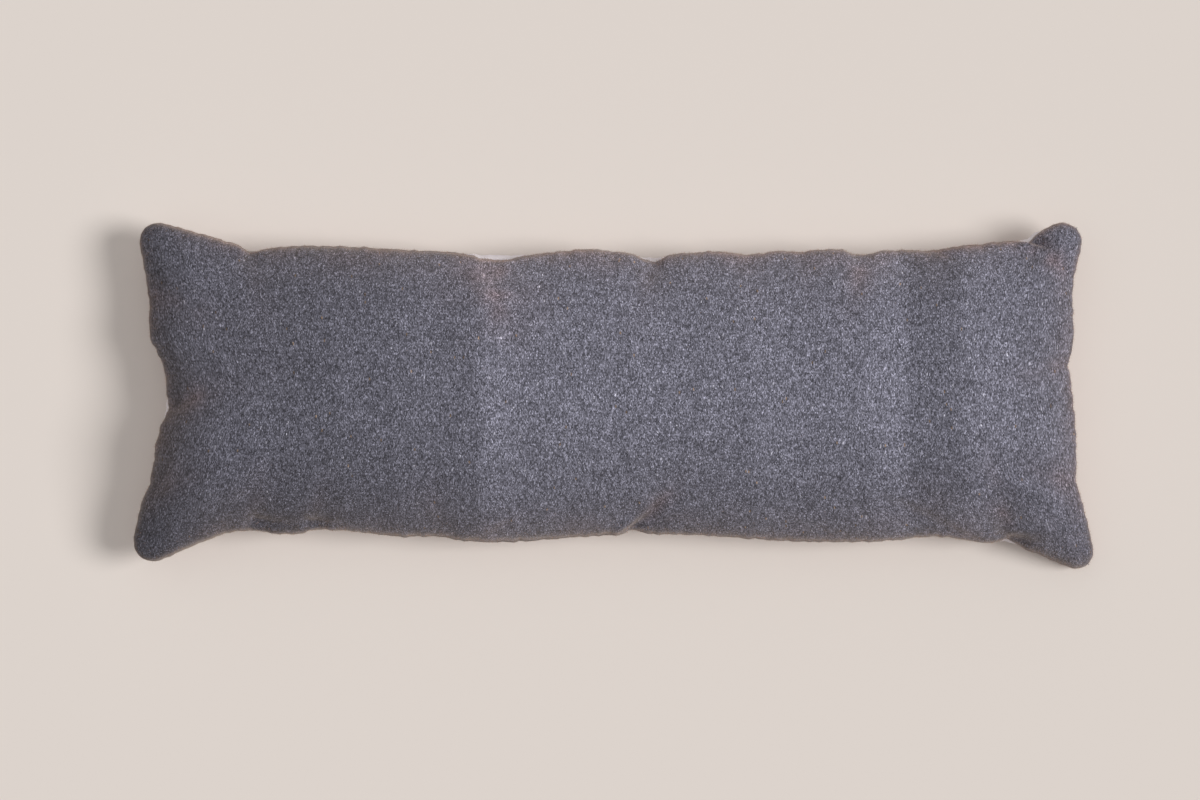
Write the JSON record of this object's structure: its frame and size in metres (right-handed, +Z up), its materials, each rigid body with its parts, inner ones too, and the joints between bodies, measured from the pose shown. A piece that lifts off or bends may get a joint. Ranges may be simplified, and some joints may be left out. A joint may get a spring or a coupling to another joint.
{
  "type": "long lumbar pillow",
  "caption": "Long stuffed pillow with a crowned grey wool front, drawn-in sides, ears at its corners and a white cotton back.",
  "frame": {"origin": "on the surface that the pillow lies on, under the middle of its bounding box", "axes": "+X along the length of the pillow, +Y across it, +Z up out of its wool face"},
  "size_m": [0.9154, 0.3294, 0.1287],
  "materials": {
    "grey_wool": "matt, slightly fuzzy, weft-faced plain weave of heathered grey wool, in soft bands of shade",
    "white_cotton": "matt plain-woven white cotton"
  },
  "bodies": {
    "root": {"filled_front": "grey_wool", "back_panel": "white_cotton"}
  },
  "joints": []
}
